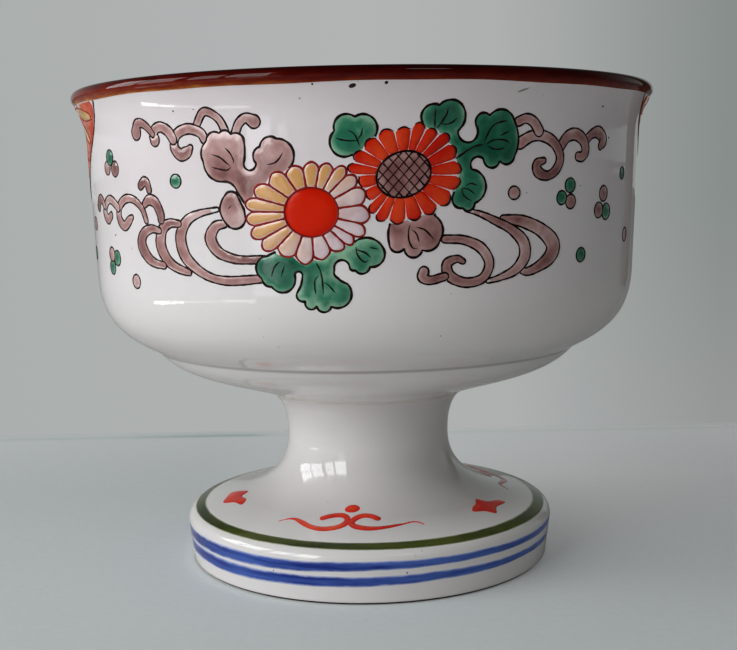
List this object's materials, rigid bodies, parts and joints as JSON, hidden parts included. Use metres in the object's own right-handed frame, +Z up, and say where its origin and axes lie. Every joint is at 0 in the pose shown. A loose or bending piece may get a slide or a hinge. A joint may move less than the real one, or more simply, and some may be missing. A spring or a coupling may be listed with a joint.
{
  "type": "sake cup washing bowl",
  "caption": "Glazed stoneware bowl on a hollow waisted pedestal, for rinsing sake cups, painted with a chrysanthemum and flowing-water spray in raised enamels.",
  "frame": {"origin": "middle of the foot ring, on the surface that the bowl stands on", "axes": "+Z up along the bowl's axis, out of its mouth; -Y towards the painted front; +X to the right seen from the front"},
  "size_m": [0.1522, 0.1522, 0.1245],
  "materials": {
    "glazed_body": "clear glossy glaze over a fine white body, with a few iron specks",
    "joint_slip": "fired slip, hidden in the joint",
    "iron_red_lip": "dark glossy iron-red band",
    "olive_enamel": "brushed olive-green line",
    "blue_enamel": "brushed cobalt-blue line with soft edges",
    "pink_enamel": "translucent pale pink enamel with red outlines",
    "orange_red_enamel": "opaque orange-red enamel",
    "grey_purple_enamel": "translucent manganese-purple enamel with dark outlines",
    "green_enamel": "translucent green enamel, pooled darker in places, with dark outlines"
  },
  "bodies": {
    "root": {"bowl": "glazed_body", "slip_joint": "joint_slip", "pedestal_foot": "glazed_body", "lip_band": "iron_red_lip", "olive_line": "olive_enamel", "lower_blue_line": "blue_enamel", "upper_blue_line": "blue_enamel", "white_chrysanthemum_petals": "pink_enamel", "white_chrysanthemum_disc": "orange_red_enamel", "red_chrysanthemum_petals": "orange_red_enamel", "red_chrysanthemum_disc": "grey_purple_enamel", "left_panel": "orange_red_enamel", "right_panel": "orange_red_enamel", "green_leaf_upper": "green_enamel", "green_leaves_right": "green_enamel", "green_leaves_lower": "green_enamel", "purple_leaves_left": "grey_purple_enamel", "purple_leaf_round": "grey_purple_enamel", "purple_leaf_right": "grey_purple_enamel", "water_upper_left": "grey_purple_enamel", "water_hook_left": "grey_purple_enamel", "water_curl_left": "grey_purple_enamel", "water_middle_left": "grey_purple_enamel", "water_arcs_left": "grey_purple_enamel", "water_inner_left": "grey_purple_enamel", "water_upper_right": "grey_purple_enamel", "water_spiral_right": "grey_purple_enamel", "water_arcs_right": "grey_purple_enamel"}
  },
  "joints": []
}
